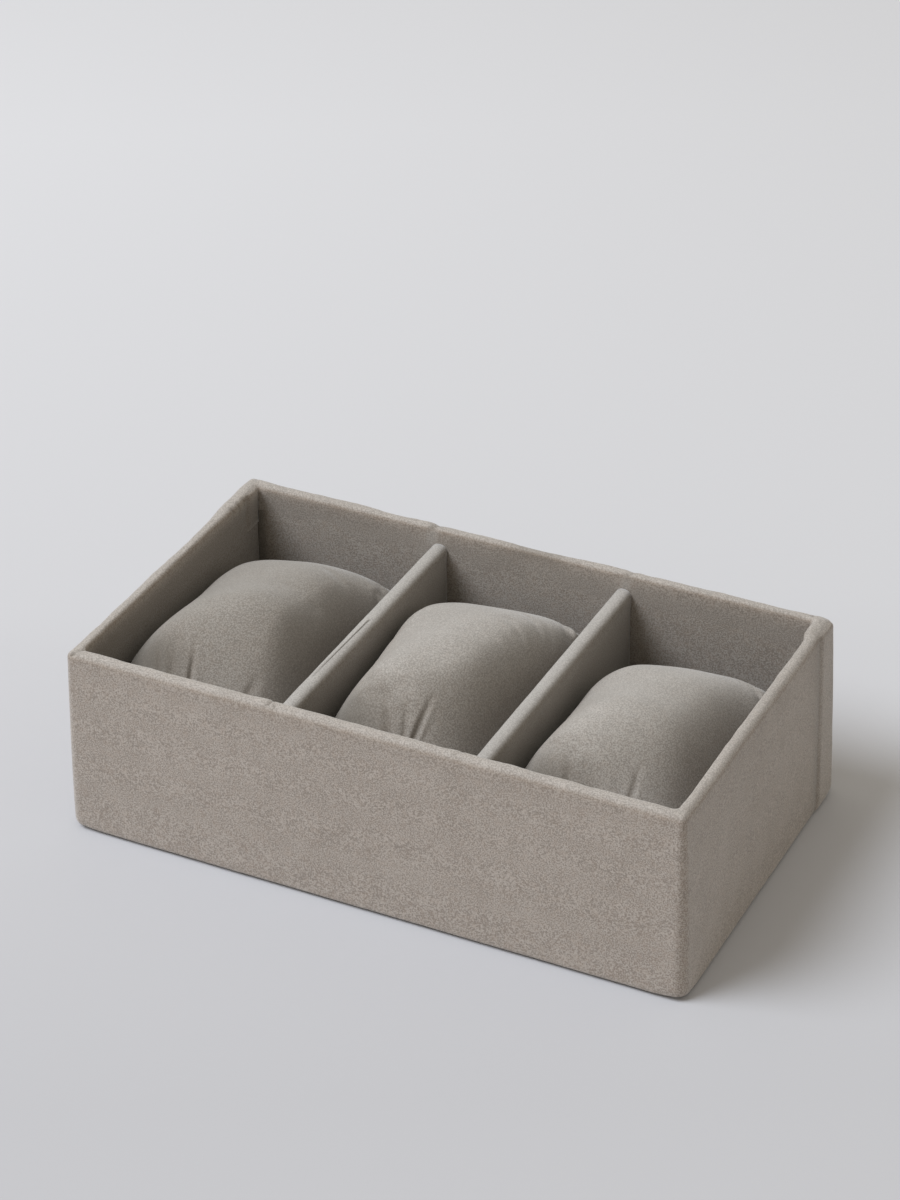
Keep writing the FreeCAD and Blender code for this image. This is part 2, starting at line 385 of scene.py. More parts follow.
def wrap_plan():
    """Where the section stands round the tray: the centre it turns about, and its outward direction."""
    inner_x = wrap_high.x - WRAP_CORNER
    inner_y = wrap_high.y - WRAP_CORNER
    corners = [(inner_x, -inner_y), (inner_x, inner_y), (-inner_x, inner_y), (-inner_x, -inner_y)]
    stations = []
    for k, creased in enumerate(FINE_PLACES):
        x, y = corners[k]
        next_x, next_y = corners[(k + 1) % 4]
        turns = np.radians(90 * k - 90 + np.linspace(0, 90, CORNER_COLUMNS))
        stations += [(x, y, math.cos(turn), math.sin(turn)) for turn in turns]
        out_x, out_y = round(math.cos(math.radians(90 * k))), round(math.sin(math.radians(90 * k)))
        if out_y:
            stations += [(place, y, out_x, out_y) for place in spaced(x, next_x, creased)]
        else:
            stations += [(x, place, out_x, out_y) for place in spaced(y, next_y, creased)]
    return stations


def wrap_points(section):
    """The section set round the tray, leaning in a little towards the rim."""
    columns = []
    middle = (wrap_low.z + wrap_high.z) / 2
    for x, y, out_x, out_y in wrap_plan():
        column = []
        for inset, height in section:
            level = (middle - height) / (wrap_high.z - middle)
            flare = WRAP_FLARE * level + WRAP_BULGE * (1 - level**2)
            lean = flare * (1 - min(max(inset / rim_width, 0.0), 1.0))
            tucked = min(max((wrap_high.z - height) / TURNED_FADE, 0.0), 1.0)
            turn = max(WRAP_CORNER - inset, INNER_CORNER * (1 - CORNER_LOST * tucked))
            limit_x = wrap_high.x - inset - turn
            limit_y = wrap_high.y - inset - turn
            column.append(
                (
                    min(max(x, -limit_x), limit_x) + out_x * (turn + lean),
                    min(max(y, -limit_y), limit_y) + out_y * (turn + lean),
                    height,
                )
            )
        columns.append(column)
    return np.array(columns)


def grid_quads(ids):
    """The corners of every cell in a grid of point numbers."""
    quads = np.stack([ids[:-1, :-1], ids[1:, :-1], ids[1:, 1:], ids[:-1, 1:]], axis=-1)
    return quads.reshape(-1, 4).tolist()


def grid_mesh(name, points, closed=(False, False)):
    """A mesh of quads over a grid of points, joined round on itself where asked."""
    ids = np.arange(points.shape[0] * points.shape[1]).reshape(points.shape[:2])
    if closed[0]:
        ids = np.vstack([ids, ids[:1]])
    if closed[1]:
        ids = np.hstack([ids, ids[:, :1]])
    mesh = bpy.data.meshes.new(name)
    mesh.from_pydata(points.reshape(-1, 3).tolist(), [], grid_quads(ids))
    return mesh


def tidy(mesh):
    """Merge doubled points, turn the faces outwards and smooth them."""
    work = bmesh.new()
    work.from_mesh(mesh)
    bmesh.ops.remove_doubles(work, verts=work.verts, dist=0.005 * MM)
    bmesh.ops.dissolve_degenerate(work, edges=work.edges, dist=0.001 * MM)
    bmesh.ops.recalc_face_normals(work, faces=work.faces)
    if work.calc_volume(signed=True) < 0:
        bmesh.ops.reverse_faces(work, faces=work.faces)
    work.to_mesh(mesh)
    work.free()
    mesh.shade_smooth()


def read_points(mesh, field="co"):
    """The places of a mesh's points, or their normals."""
    values = np.empty(len(mesh.vertices) * 3, np.float32)
    mesh.vertices.foreach_get(field, values)
    return values.reshape(-1, 3).astype(float)


def write_points(mesh, points):
    """Move a mesh's points."""
    mesh.vertices.foreach_set("co", np.asarray(points, np.float32).ravel())
    mesh.update()


def ripple(points, size):
    """Smooth noise from about -1 to 1 at each point, with features of the given size."""
    return np.array([noise.noise(Vector(point) / size) for point in points])


def waves(points, sizes):
    """The sum of waves with the given heights and lengths, in millimetres, at each point."""
    return sum(height * ripple(points, length * MM) for height, length in sizes)


def bell(values, width, middle=0):
    """1 at a middle value, falling to 0 on both sides of it."""
    return np.exp(-(((values - middle) / width) ** 2))


def along_line(points, start, end, half_width):
    """How near each point is to a line between two places in millimetres: 1 on it, 0 away from it."""
    start, end = np.array(start) * MM, np.array(end) * MM
    run = end - start
    share = np.clip((points - start) @ run / (run @ run), 0, 1)
    distance = np.linalg.norm(points - start - share[:, None] * run, axis=1)
    return bell(distance, half_width * MM)


def ramp(values, low, high):
    """A smooth rise from 0 to 1 between two values."""
    share = np.clip((values - low) / (high - low), 0, 1)
    return share * share * (3 - 2 * share)


def write_values(mesh, name, values):
    """Keep one number for each point of a mesh, under a name."""
    attribute = mesh.attributes.new(name, "FLOAT", "POINT")
    attribute.data.foreach_set("value", np.broadcast_to(values, len(mesh.vertices)).astype(np.float32))


def read_values(mesh, name):
    """The numbers kept under a name."""
    values = np.empty(len(mesh.vertices), np.float32)
    mesh.attributes[name].data.foreach_get("value", values)
    return values


def mark_pile(mesh, crush_and_highlight, painted_shade, bare):
    """Write the three values that the velvet reads."""
    for name, values in (("crush_and_highlight", crush_and_highlight), ("painted_shade", painted_shade), ("bare", bare)):
        write_values(mesh, name, values)


def new_piece(mesh, material):
    """An object in the scene with this mesh and finish."""
    mesh.materials.append(material)
    piece = bpy.data.objects.new(mesh.name, mesh)
    bpy.context.scene.collection.objects.link(piece)
    return piece


def settle_wrap(mesh):
    """Let the glued cloth follow its boards unevenly, and press in its lap, folds and creases."""
    points, normals, outside = read_points(mesh), read_points(mesh, "normal"), read_values(mesh, "shown")
    up = normals[:, 2]
    rim = ramp(points[:, 2], wrap_high.z - RIM_DEPTH, wrap_high.z)
    lift = waves(points, WAVES) + rim * waves(points, RIM_WAVES)
    groove_shade = np.zeros(len(points))
    for start, end, depth, half_width in CREASES:
        near = along_line(points, start, end, half_width)
        lift = lift - depth * near
        # Painted shade in each crease, the deeper the darker
        groove_shade = np.maximum(groove_shade, near * min(depth / FULL_GROOVE, 1))
    behind = points[:, 1] / MM - np.interp(points[:, 2] / MM, LAP_HEIGHTS, LAP_PLACES)
    on_right = ramp(normals[:, 0], *RIGHT_FACE)
    lap = bell(behind, LAP_GROOVE) * on_right
    lift = lift + LAP_STEP * ramp(behind, 0, LAP_EDGE) * on_right - LAP_DEPTH * lap
    # Painted shadow in front of the lap's raised edge, and painted shade in its groove
    before = bell(np.minimum(behind, 0), LAP_SHADOW) * ramp(-behind, -LAP_EDGE, 0) * on_right
    groove_shade = np.maximum(groove_shade, LAP_SHADOW_SHADE * before + LAP_GROOVE_SHADE * lap)
    to_corner = np.hypot(np.abs(points[:, 0]) - wrap_high.x, np.abs(points[:, 1]) - wrap_high.y)
    foot = bell(to_corner, FOOT_REACH) * (1 - ramp(points[:, 2], 0, FOOT_HEIGHT)) ** 2
    lift = lift - FOOT_TUCK * foot
    write_points(mesh, points + normals * (lift * outside)[:, None] * MM)
    fold = bell(up, FOLD_SPREAD, FOLD_LEAN) * outside * ramp(points[:, 2], *FOLD_HEIGHTS)
    # Painted highlight on the rim and on the strip behind the lap, and paler crushed pile
    crush_and_highlight = RIM_HIGHLIGHT * ramp(up, *RIM_LEAN) * rim
    crush_and_highlight = crush_and_highlight + LAP_HIGHLIGHT * ramp(behind, 0, LAP_HIGHLIGHT_RISE) * on_right
    for start, end, half_width in CRUSHED:
        crush_and_highlight = np.maximum(crush_and_highlight, CRUSHED_PALENESS * along_line(points, start, end, half_width))
    # Painted shade on the cloth turned in below the rim, deeper down, and more on the left wall
    within_x = np.abs(points[:, 0]) < room_x + ROOM_MARGIN
    within_y = np.abs(points[:, 1]) < room_y + ROOM_MARGIN
    depth_in = ramp(wrap_high.z - points[:, 2], 0, TURNED_FADE) * (within_x & within_y) * (1 - crush_and_highlight)
    painted_turned_shade = (TURNED_SHADE + LEFT_WALL_SHADE * (normals[:, 0] > LEFT_WALL_LEAN)) * depth_in
    crush_and_highlight = np.maximum(crush_and_highlight, TURNED_GREYING * depth_in)
    mark_pile(mesh, crush_and_highlight=crush_and_highlight, painted_shade=np.maximum(groove_shade, painted_turned_shade), bare=FOLD_BARE * fold)


section, shown = wrap_section()
wrap_columns = wrap_points(section)
wrap_mesh = grid_mesh("outer_wrap", wrap_columns, closed=(True, True))
write_values(wrap_mesh, "shown", np.tile(shown, len(wrap_columns)))
tidy(wrap_mesh)
settle_wrap(wrap_mesh)
wrap = new_piece(wrap_mesh, velvet("wrap velvet", WRAP_ROOTS, WRAP_TIPS))
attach(wrap, "tray")
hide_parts("outer_velvet_wrap")


# Linings: velvet cut to size and glued to the inner faces of the walls and to the floor of each
# compartment. The long pieces run from corner to corner and the short ones butt against them.
# The wrap's velvet in a darker copy: painted shade for the inside of the tray
SHADED_LINING_ROOTS = (0.220, 0.191, 0.166)
SHADED_LINING_TIPS = (0.371, 0.340, 0.311)
PANEL_STEP = 2.2 * MM
PANEL_EDGE = 0.7 * MM
EDGE_SHARES = np.array([0.0, 0.08, 0.3, 0.65])
PANEL_WAVE = 0.12 * MM
PANEL_WAVE_LENGTH = 16 * MM
# Painted shade over the dark joint at the left end of the back lining, and over the left lining, which
# faces away from the lamp
JOINT_WIDTH = 4.5 * MM
JOINT_SHADE = 0.9
LEFT_LINING_SHADE = 0.46
# The axis that each panel faces along, and its sign
PANELS = {
    "front_lining": (1, 1),
    "back_lining": (1, -1),
    "left_lining": (0, 1),
    "right_lining": (0, -1),
    "left_floor_lining": (2, 1),
    "middle_floor_lining": (2, 1),
    "right_floor_lining": (2, 1),
}


def panel_places(start, end):
    """Places across a panel: close together at its rounded edges and evenly spread between them."""
    edge = PANEL_EDGE * EDGE_SHARES
    count = round((end - start - 2 * PANEL_EDGE) / PANEL_STEP)
    inner = np.linspace(start + PANEL_EDGE, end - PANEL_EDGE, count + 1)
    return np.concatenate([start + edge, inner, end - edge[::-1]])


def panel_mesh(node, axis, facing):
    """One piece of lining: a soft sheet with rounded edges on the side that shows."""
    low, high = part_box(node)
    first, second = (k for k in range(3) if k != axis)
    rows = panel_places(low[first], high[first])
    columns = panel_places(low[second], high[second])
    thickness = high[axis] - low[axis]
    glued = low[axis] if facing > 0 else high[axis]
    from_row = np.minimum(rows - low[first], high[first] - rows)
    from_column = np.minimum(columns - low[second], high[second] - columns)
    from_edge = np.minimum(from_row[:, None], from_column[None, :]).clip(0, PANEL_EDGE)
    sunk = PANEL_EDGE - np.sqrt(PANEL_EDGE**2 - (PANEL_EDGE - from_edge) ** 2)
    points = np.empty((2, len(rows), len(columns), 3))
    points[..., first] = rows[:, None]
    points[..., second] = columns[None, :]
    points[0, ..., axis] = glued
    points[1, ..., axis] = glued + facing * (thickness - sunk)
    wave = ripple(points[1].reshape(-1, 3), PANEL_WAVE_LENGTH).reshape(from_edge.shape)
    points[1, ..., axis] -= facing * PANEL_WAVE * (1 + wave) * (from_edge / PANEL_EDGE)
    ids = np.arange(2 * from_edge.size).reshape(2, *from_edge.shape)
    faces = grid_quads(ids[0]) + grid_quads(ids[1])
    border = [
        np.concatenate([layer[0, :-1], layer[:-1, -1], layer[-1, :0:-1], layer[:0:-1, 0]])
        for layer in ids
    ]
    for k in range(len(border[0])):
        faces.append((border[0][k - 1], border[0][k], border[1][k], border[1][k - 1]))
    mesh = bpy.data.meshes.new(node.replace("lining", "velvet"))
    mesh.from_pydata(points.reshape(-1, 3).tolist(), [], faces)
    tidy(mesh)
    return mesh


shaded_lining_material = velvet("shaded lining velvet", SHADED_LINING_ROOTS, SHADED_LINING_TIPS)
for node, (axis, facing) in PANELS.items():
    mesh = panel_mesh(node, axis, facing)
    low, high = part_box(node)
    painted_shade = LEFT_LINING_SHADE if node == "left_lining" else 0
    if node == "back_lining":
        from_joint = read_points(mesh)[:, 0] - low.x
        painted_shade = JOINT_SHADE * (1 - ramp(from_joint, 0.5 * JOINT_WIDTH, JOINT_WIDTH))
    mark_pile(mesh, crush_and_highlight=0, painted_shade=painted_shade, bare=0)
    panel = new_piece(mesh, shaded_lining_material)
    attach(panel, "tray")
    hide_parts(node)


# Divider sleeves: a strip of velvet folded over each divider board and glued down both faces.
# On the left divider the two edges of the cloth meet in a slit along the top.
SLEEVE_ROUND = 2.5 * MM
SLEEVE_SWELL = 0.4 * MM
SWELL_DEPTH = 9 * MM
SLEEVE_STEP = 1.0 * MM
SLEEVE_ROWS = 34
# Waves in millimetres, on the part of the top that doesn't face down to the board
SLEEVE_WAVES = ((0.12, 9), (0.08, 3))
GLUED_LEAN = -0.2
# The slit: both ends, depth and half width in millimetres, and its raised lips
SLITS = {"left": [((-33.1, 5, 63.5), (-34.0, -33, 63.5), 0.3, 0.22)], "right": []}
LIP_RISE = 0.1
LIP_SPREAD = 3
# Painted light on the pile: shade in the slit, a highlight on the crest, shade on the right face, darker
# downwards
SLIT_SHADE = 0.7
CREST_HIGHLIGHT = 0.7
CREST_LEAN = (0.05, 0.8)
FACE_LEAN = (0.4, 0.9)
FACE_SHADE = 0.3
LOW_FACE_SHADE = 0.65
LOW_FACE_DEPTH = 35 * MM


def sleeve_mesh(side):
    """The folded strip: an upside-down U, with its glued inner side one cloth further in."""
    low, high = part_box(side + "_divider_cover")
    middle = (low.x + high.x) / 2
    half = (high.x - low.x) / 2
    flat = half + SLEEVE_SWELL - SLEEVE_ROUND
    rise = np.linspace(low.z, high.z - SLEEVE_ROUND, SLEEVE_ROWS)
    turns = np.radians(np.linspace(90, 0, 7))
    right = [(flat * share, high.z) for share in (0.0, 0.17, 0.34, 0.5, 0.67, 0.84)]
    right += [
        (flat + SLEEVE_ROUND * math.cos(turn), high.z - SLEEVE_ROUND * (1 - math.sin(turn)))
        for turn in turns
    ]
    swell = SLEEVE_SWELL * ramp(rise, high.z - SWELL_DEPTH, high.z - SLEEVE_ROUND)
    right += list(zip(half + swell, rise))[-2::-1]
    outer = np.array([(-x, z) for x, z in right[:0:-1]] + right)
    inner = np.array([(np.clip(x, CLOTH - half, half - CLOTH), min(z, high.z - CLOTH)) for x, z in outer])
    along = np.linspace(low.y, high.y, round((high.y - low.y) / SLEEVE_STEP) + 1)
    section = np.vstack([outer, inner[::-1]])
    points = np.empty((len(along), len(section), 3))
    points[..., 0] = middle + section[:, 0]
    points[..., 1] = along[:, None]
    points[..., 2] = section[:, 1]
    mesh = grid_mesh(side + "_divider_velvet", points, closed=(False, True))
    ids = np.arange(len(along) * len(section)).reshape(len(along), len(section))
    ends = bmesh.new()
    ends.from_mesh(mesh)
    ends.verts.ensure_lookup_table()
    for row in (ids[0], ids[-1]):
        for k in range(len(outer) - 1):
            corners = (row[k], row[k + 1], row[-k - 2], row[-k - 1])
            ends.faces.new([ends.verts[corner] for corner in corners])
    ends.to_mesh(mesh)
    ends.free()
    tidy(mesh)
    return mesh


def settle_sleeve(mesh, side):
    """Uneven cloth on top, the slit with its raised lips, and painted highlights and shade on the pile."""
    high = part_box(side + "_divider_cover")[1]
    points, normals = read_points(mesh), read_points(mesh, "normal")
    up = normals[:, 2]
    top = ramp(points[:, 2], high.z - SLEEVE_ROUND, high.z) * (up > GLUED_LEAN)
    lift = waves(points, SLEEVE_WAVES)
    groove_shade = np.zeros(len(points))
    for start, end, depth, half_width in SLITS[side]:
        near = along_line(points, start, end, half_width)
        lips = along_line(points, start, end, LIP_SPREAD * half_width) - near
        lift = lift - depth * near + LIP_RISE * lips
        groove_shade = np.maximum(groove_shade, near)
    write_points(mesh, points + normals * (lift * top)[:, None] * MM)
    fold = bell(up, FOLD_SPREAD, FOLD_LEAN) * top
    crest = ramp(points[:, 2], high.z - 2 * SLEEVE_ROUND, high.z - SLEEVE_ROUND)
    crush_and_highlight = CREST_HIGHLIGHT * ramp(up, *CREST_LEAN) * crest
    deep = ramp(high.z - points[:, 2], 0, LOW_FACE_DEPTH)
    right_face_shade = ramp(normals[:, 0], *FACE_LEAN) * (FACE_SHADE + LOW_FACE_SHADE * deep)
    mark_pile(mesh, crush_and_highlight=crush_and_highlight, painted_shade=np.maximum(SLIT_SHADE * groove_shade, right_face_shade), bare=FOLD_BARE * fold)


for side in ("left", "right"):
    mesh = sleeve_mesh(side)
    settle_sleeve(mesh, side)
    sleeve = new_piece(mesh, shaded_lining_material)
    low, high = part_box(side + "_divider_cover")
    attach(sleeve, "tray")
    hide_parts(side + "_divider_cover")


# Underside: a card that fills the level inside the wrap's hem, and a sheet of stiff paper glued over
# both. The tray stands on this sheet.
CARD_TONES = ((0.30, 0.28, 0.26), (0.48, 0.46, 0.43))
PAPER_TONES = ((0.20, 0.18, 0.165), (0.31, 0.285, 0.26))
CARD_FLECK = 1.1 * MM
PAPER_FLECK = 0.6 * MM
CLOUD_FLECKS = 12

for node, name, tones, fleck in (
    ("base_infill_card", "grey card", CARD_TONES, CARD_FLECK),
    ("underside_sheet", "taupe paper", PAPER_TONES, PAPER_FLECK),
):
    sheet_material = fibrous(
        name,
        *tones,
        sizes=(fleck, CLOUD_FLECKS * fleck),
        detail=4.0,
        coarse=0.25,
        relief=(0.2, 0.06 * MM),
        roughness=(0.75, 0.2),
    )
    coat(node, sheet_material)


# Cushions: three loose pads. Each is two squares of velvet sewn along their edges, turned, stuffed and
# closed by hand, then pushed into its compartment, where its crown lies aslant and its front puckers.
CUSHION_ROOTS = (0.241, 0.213, 0.189)
CUSHION_TIPS = (0.417, 0.385, 0.354)
WADDING_TONES = ((0.70, 0.69, 0.66), (0.82, 0.81, 0.78))
STRAND_SIZE = 1.5 * MM
# Heights of the upper square in millimetres: a row for each place along it, from the front seam to the
# back seam, and in a row a height for each place across, from left to right
ACROSS = np.array([0, 0.10, 0.25, 0.42, 0.60, 0.78, 0.92, 1])
ALONG = np.array([0, 0.10, 0.20, 0.31, 0.45, 0.62, 0.80, 0.92, 1])
CROWNS = {
    "left": [
        (37, 40, 41, 40, 37, 33, 30, 27),
        (44.5, 49, 51.5, 48.5, 44.5, 39.5, 33.5, 28.5),
        (49, 56.5, 61.5, 57, 51.5, 45.5, 36, 29.5),
        (51.5, 59, 68, 67.5, 62, 53, 38.5, 28.5),
        (51, 58.6, 67.5, 72, 71.5, 61, 40, 26),
        (49.5, 57.4, 63.2, 67, 70, 63, 42, 25),
        (48, 56, 62, 65, 67, 63, 48.5, 35),
        (46.5, 52.5, 56.5, 59, 60.5, 59.5, 53.5, 45),
        (45, 47.5, 49, 50.5, 52, 54, 52.5, 48.5),
    ],
    "middle": [
        (35, 38, 41, 41, 37, 32, 27, 24),
        (39, 46, 52.5, 52, 45, 38, 31, 26),
        (42, 51.5, 62.5, 62.5, 54, 45, 34.5, 27.5),
        (45.5, 55.5, 68.5, 71, 64, 52, 37.5, 28.5),
        (46.5, 57.3, 67.5, 72, 71, 60.5, 42, 29),
        (49, 60, 65.8, 69.7, 71.5, 65.5, 48.5, 33.5),
        (52.5, 60, 64, 66, 67.5, 65.5, 55, 41.5),
        (49, 54, 58, 59.5, 60, 60.5, 54.5, 41),
        (45.5, 48.5, 50.5, 52, 53, 55, 51.5, 42),
    ],
    "right": [
        (37, 40, 41, 40, 37, 33, 29, 26),
        (42, 48, 52, 49, 43.5, 38.5, 33, 28.5),
        (45, 54, 61, 57, 49.5, 43.5, 35.5, 30),
        (46, 56, 67, 66, 58.5, 49.5, 38, 30),
        (45, 55.5, 66, 70, 66.5, 56.5, 40, 28.5),
        (45.5, 55, 62.5, 66.5, 66.5, 57.8, 41, 26.5),
        (45, 53.8, 61.5, 63.3, 63.5, 58, 43.8, 30),
        (40, 47, 53, 56.5, 57.8, 56.5, 49.5, 40.5),
        (36, 41, 45.5, 48, 50.5, 53.5, 51, 43.5),
    ],
}
# Puckers of the upper square: both ends in plan, depth and half width in millimetres. A negative depth
# is a ridge. Puckers that end in front of FRONT_FEET run on down to the front seam
PUCKERS = {
    "left": [
        ((-91.0, -34.0), (-85.5, -45), 0.42, 1.1),
        ((-86.0, -34.0), (-80.5, -46), 0.48, 1.4),
        ((-79.0, -30.0), (-74.6, -46), 0.70, 0.9),
        ((-56.0, -28.0), (-59.0, -44), 0.50, 1.4),
    ],
    "middle": [
        ((-9.0, -30.0), (1.0, -47), 0.62, 1.9),
        ((0.5, -32.0), (4.5, -46), 0.32, 1.2),
        ((7.4, -26.0), (5.2, -47), 0.70, 0.9),
        ((10.2, -25.0), (7.4, -46), 0.12, 1.2),
        ((22.5, 42.0), (28.0, 38.6), 1.2, 0.8),
    ],
    "right": [
        ((58.8, -34.5), (63.0, -47), 0.72, 1.8),
        ((55.5, -39.5), (59.0, -48), 0.40, 1.2),
        ((80.0, -26.0), (80.6, -43), 0.38, 1.0),
        ((63.2, -12.6), (78.2, -7.9), -0.10, 0.7),
    ],
}
FRONT_FEET = -40
FRONT_SEAM = -56.5
PUCKER_FADE = (-0.05, 0.7)
LIP_SHARE = 0.45
LIP_WIDTH = 2.4
UPPER_LEAN = (-0.1, 0.2)
SEAM_SINK = 0.7
# The seam counts as a fold, for painted shade and bare backing
SEAM_FOLD = 0.6
EAR_PLACE = (28.6, 38.0)
EAR_RISE = 3.0
EAR_REACH = 3.4
# The pad before it swells: its rows and columns, and how full and how drawn in it is
CUSHION_COLUMNS = 44
CUSHION_ROWS = 52
EASING = 0.3
BELLY_POWER = 6
DRAW_IN = 0.9 * MM
EVENING_ROUNDS = 4
FILLING_DEPTH = 1.6 * MM
# The swelling, done at a larger scale. Only its wrinkles are kept, up to a cap
SWELL_SCALE = 20
SWELL_FRAMES = 20
SWELL_PRESSURE = 4.0
SWELL_SLACK = 0.015
SWELL_STIFFNESS = 0.1
SWELL_CAP = 0.8 * MM
FORM_KEPT = 0.9
FORM_ROUNDS = 30
# Marks on the pile: painted highlights and a darker top, painted shade on the right side and in the
# puckers, and on the front left corner, which is dark in the photo
TOP_HIGHLIGHT = {"left": 0.3, "middle": 0.45, "right": 0.45}
TOP_HIGHLIGHT_LEAN = (0.4, 0.98)
TOP_SHADE = {"left": 0.40, "middle": 0.05, "right": 0.05}
TOP_SHADE_LEAN = (0.3, 0.9)
RIGHT_SHADE = {"left": 0.78, "middle": 0.60, "right": 0.45}
RIGHT_LEAN = (0.32, 0.8)
PUCKER_SHADE = 0.7
CORNER_SHADE = 0.95
CORNER_WIDTH = (12 * MM, 40 * MM)
CORNER_REACH = {"left": 38 * MM, "middle": 34 * MM, "right": 31 * MM}
CORNER_FADE = 20 * MM


def through_table(places, at):
    """Weights that draw a smooth curve through values given at some places."""
    values = np.eye(len(places))
    slopes = np.gradient(values, places, axis=0)
    k = np.clip(np.searchsorted(places, at, side="right") - 1, 0, len(places) - 2)
    span = (places[k + 1] - places[k])[:, None]
    t = (at - places[k])[:, None] / span
    start = values[k] * (1 + 2 * t) * (1 - t) ** 2 + slopes[k] * span * t * (1 - t) ** 2
    return start + values[k + 1] * t**2 * (3 - 2 * t) + slopes[k + 1] * span * t**2 * (t - 1)


def eased(count):
    """Places from 0 to 1, a little closer together at both ends."""
    even = np.linspace(0, 1, count)
    return (1 - EASING) * even + EASING * (1 - np.cos(even * math.pi)) / 2


def neighbour_mean(mesh, values, rounds):
    """Values at the points of a mesh, evened out over their neighbours some times."""
    edges = np.empty(len(mesh.edges) * 2, np.int32)
    mesh.edges.foreach_get("vertices", edges)
    first, second = edges.reshape(-1, 2).T
    count = np.bincount(edges, minlength=len(mesh.vertices))[:, None]
    for _ in range(rounds):
        total = np.zeros_like(values)
        np.add.at(total, first, values[second])
        np.add.at(total, second, values[first])
        values = (values + total / count) / 2
    return values


def pad_mesh(name):
    """The two squares of one cushion, sewn along their edges: its form before the cloth settles."""
    low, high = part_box(name + "_cushion_cover")
    across, along = eased(CUSHION_COLUMNS), eased(CUSHION_ROWS)
    height = through_table(ALONG, along) @ np.array(CROWNS[name]) @ through_table(ACROSS, across).T * MM
    side, end = 2 * across[None, :] - 1, 2 * along[:, None] - 1
    belly = np.sqrt(np.clip((1 - side**BELLY_POWER) * (1 - end**BELLY_POWER), 0, 1))
    points = np.empty((2, CUSHION_ROWS, CUSHION_COLUMNS, 3))
    points[..., 0] = (low.x + high.x) / 2 + side * ((high.x - low.x) / 2 - DRAW_IN * (1 - end**2))
    points[..., 1] = low.y + (high.y - low.y) * along[:, None]
    points[0, ..., 2] = height
    points[1, ..., 2] = height - (height - low.z) * belly
    sewn = np.zeros((2, CUSHION_ROWS, CUSHION_COLUMNS))
    sewn[:, (0, -1), :] = 1
    sewn[:, :, (0, -1)] = 1
    upper, lower = points
    mesh = grid_mesh(name + "_cushion", np.concatenate([upper, lower[::-1]]), closed=(True, False))
    write_values(mesh, "seam", sewn.ravel())
    tidy(mesh)
    points = read_points(mesh)
    loose = (read_values(mesh, "seam") < 0.5)[:, None]
    write_points(mesh, np.where(loose, neighbour_mean(mesh, points, EVENING_ROUNDS), points))
    return mesh


def let_swell(mesh):
    """Let the stuffed cover swell as cloth, held at its seams, and keep the wrinkles that it makes."""
    scene = bpy.context.scene
    rest = read_points(mesh)
    blown = mesh.copy()
    write_points(blown, rest * SWELL_SCALE)
    cover = bpy.data.objects.new("swelling cover", blown)
    scene.collection.objects.link(cover)
    sewn = cover.vertex_groups.new(name="sewn")
    sewn.add([int(k) for k in np.flatnonzero(read_values(mesh, "seam") > 0.5)], 1.0, "REPLACE")
    cloth = cover.modifiers.new("cloth", "CLOTH")
    cloth.point_cache.frame_end = SWELL_FRAMES
    settings = cloth.settings
    settings.vertex_group_mass = sewn.name
    settings.use_pressure = True
    settings.uniform_pressure_force = SWELL_PRESSURE
    settings.effector_weights.gravity = 0
    settings.shrink_min = -SWELL_SLACK
    settings.bending_stiffness = SWELL_STIFFNESS
    for step in range(1, SWELL_FRAMES + 1):
        scene.frame_set(step)
    settled = cover.evaluated_get(bpy.context.evaluated_depsgraph_get())
    moved = read_points(settled.data) / SWELL_SCALE - rest
    bpy.data.objects.remove(cover)
    bpy.data.meshes.remove(blown)
    scene.frame_set(1)
    moved -= FORM_KEPT * neighbour_mean(mesh, moved, FORM_ROUNDS)
    size = np.linalg.norm(moved, axis=1, keepdims=True)
    write_points(mesh, rest + moved * np.minimum(1, SWELL_CAP / np.maximum(size, 1e-9)))


def subdivided(mesh, levels):
    """A smoother copy of a mesh."""
    rough = bpy.data.objects.new("rough", mesh)
    bpy.context.scene.collection.objects.link(rough)
    smoothing = rough.modifiers.new("smoothing", "SUBSURF")
    smoothing.levels = smoothing.render_levels = levels
    smooth = rough.evaluated_get(bpy.context.evaluated_depsgraph_get())
    result = bpy.data.meshes.new_from_object(smooth)
    bpy.data.objects.remove(rough)
    result.shade_smooth()
    return result


def pucker(mesh, name):
    """Press the puckers into the upper square, pull up its ear and sink the seam.

    Gives back how much each point lies in a fold."""
    low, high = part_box(name + "_cushion_cover")
    points, normals, seam = read_points(mesh), read_points(mesh, "normal"), read_values(mesh, "seam")
    plan = points * (1, 1, 0)
    upper = ramp(normals[:, 2], *UPPER_LEAN)
    lift = -SEAM_SINK * seam**2
    folded = SEAM_FOLD * seam**2
    for top, foot, depth, half_width in PUCKERS[name]:
        run = np.array(foot) - np.array(top)
        share = ((points[:, :2] / MM - top) @ run) / (run @ run)
        # A pucker at the front runs on to the seam, but it fades in over its own length
        if foot[1] < FRONT_FEET:
            foot = top + run * (FRONT_SEAM - top[1]) / run[1]
        valley = along_line(plan, (*top, 0), (*foot, 0), half_width)
        lips = along_line(plan, (*top, 0), (*foot, 0), half_width * LIP_WIDTH) - valley
        fade = ramp(share, *PUCKER_FADE) * upper
        lift = lift + depth * fade * (LIP_SHARE * lips - valley)
        folded = np.maximum(folded, np.clip(depth, 0, 1) * fade * valley)
    points = points + normals * lift[:, None] * MM
    if name == "middle":
        ear = along_line(plan, (*EAR_PLACE, 0), (EAR_PLACE[0] + 1, EAR_PLACE[1] + 1, 0), EAR_REACH)
        points[:, 2] += EAR_RISE * ear * upper * MM
    points[:, 0] = np.clip(points[:, 0], low.x, high.x)
    points[:, 1] = np.clip(points[:, 1], low.y, high.y)
    points[:, 2] = np.maximum(points[:, 2], low.z)
    write_points(mesh, points)
    return folded


